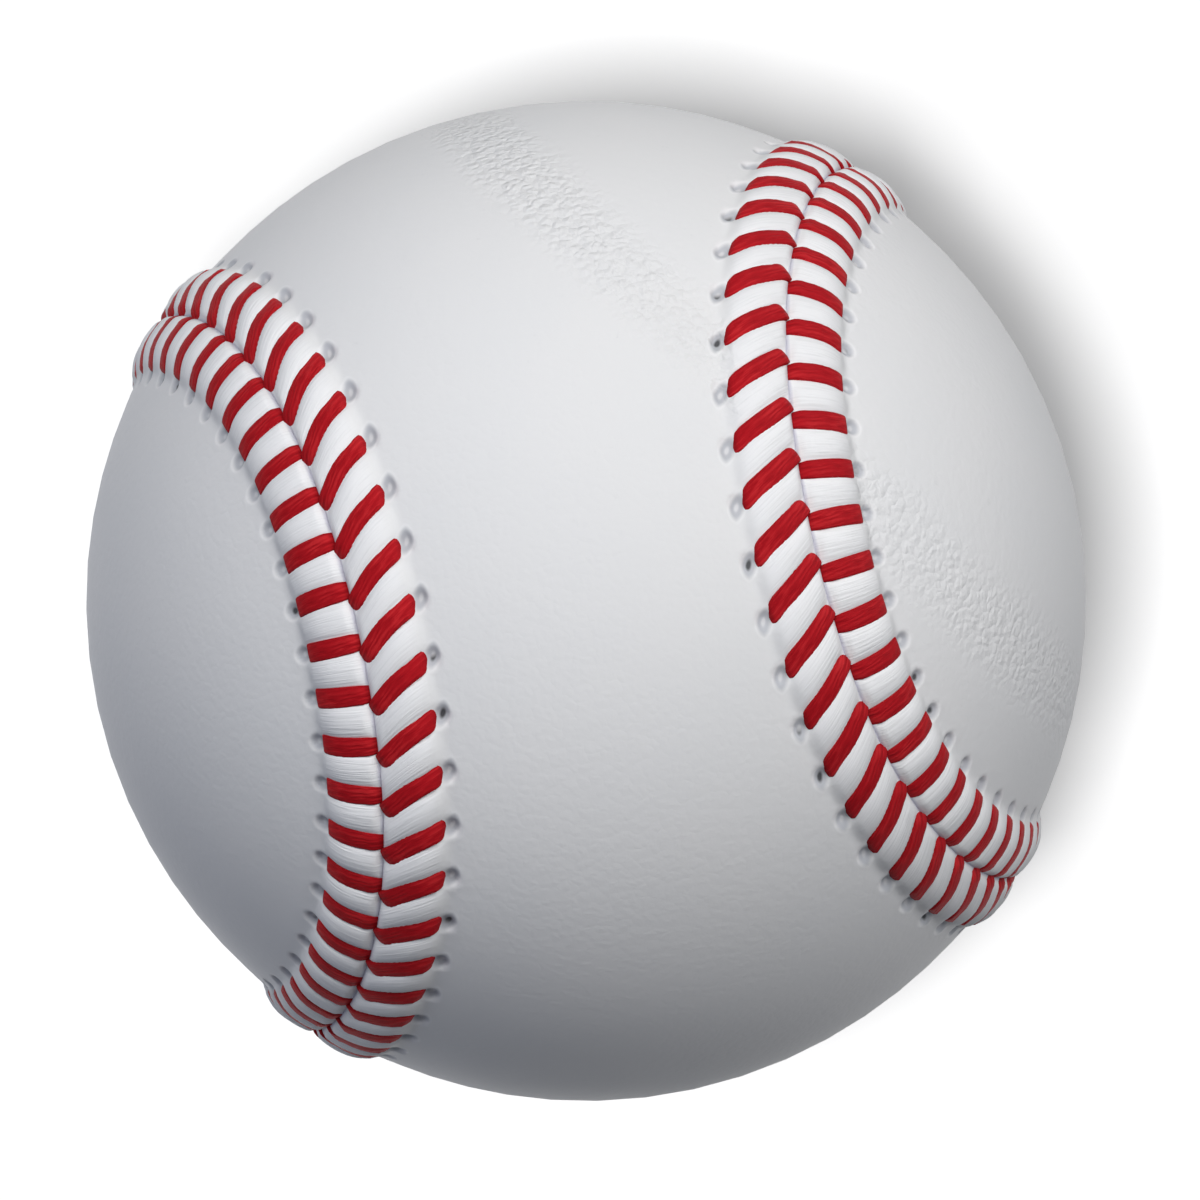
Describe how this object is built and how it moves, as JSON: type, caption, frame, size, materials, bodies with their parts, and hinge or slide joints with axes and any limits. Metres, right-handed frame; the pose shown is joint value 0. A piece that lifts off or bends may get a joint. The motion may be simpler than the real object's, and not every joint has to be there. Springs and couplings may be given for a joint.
{
  "type": "baseball",
  "caption": "Regulation baseball: two stitched figure-eight leather panels over wound yarn and a cushioned cork centre.",
  "frame": {"origin": "centre of the ball", "axes": "+Z through the waist of cover panel A, whose two lobes reach down the +Y and -Y sides; panel B's lobes reach up the +X and -X sides. The picture looks straight down -Z"},
  "size_m": [0.0744, 0.0744, 0.0744],
  "materials": {
    "cork": "matt composition cork",
    "black_rubber": "matt",
    "red_rubber": "matt",
    "grey_wool": "wound wool yarn",
    "white_wool": "wound wool yarn",
    "white_cotton": "wound cotton and polyester yarn",
    "leather": "smooth white cowhide with a soft gloss",
    "red_thread": "waxed thread"
  },
  "bodies": {
    "root": {"cork_core": "cork", "black_rubber_shell_lower": "black_rubber", "black_rubber_shell_upper": "black_rubber", "red_rubber_washer": "red_rubber", "red_rubber_shell_lower": "red_rubber", "red_rubber_shell_upper": "red_rubber", "first_winding": "grey_wool", "second_winding": "white_wool", "third_winding": "grey_wool", "fourth_winding": "white_cotton", "cover_panel_a": "leather", "cover_panel_b": "leather", "stitch_thread_one": "red_thread", "stitch_thread_two": "red_thread"}
  },
  "joints": []
}
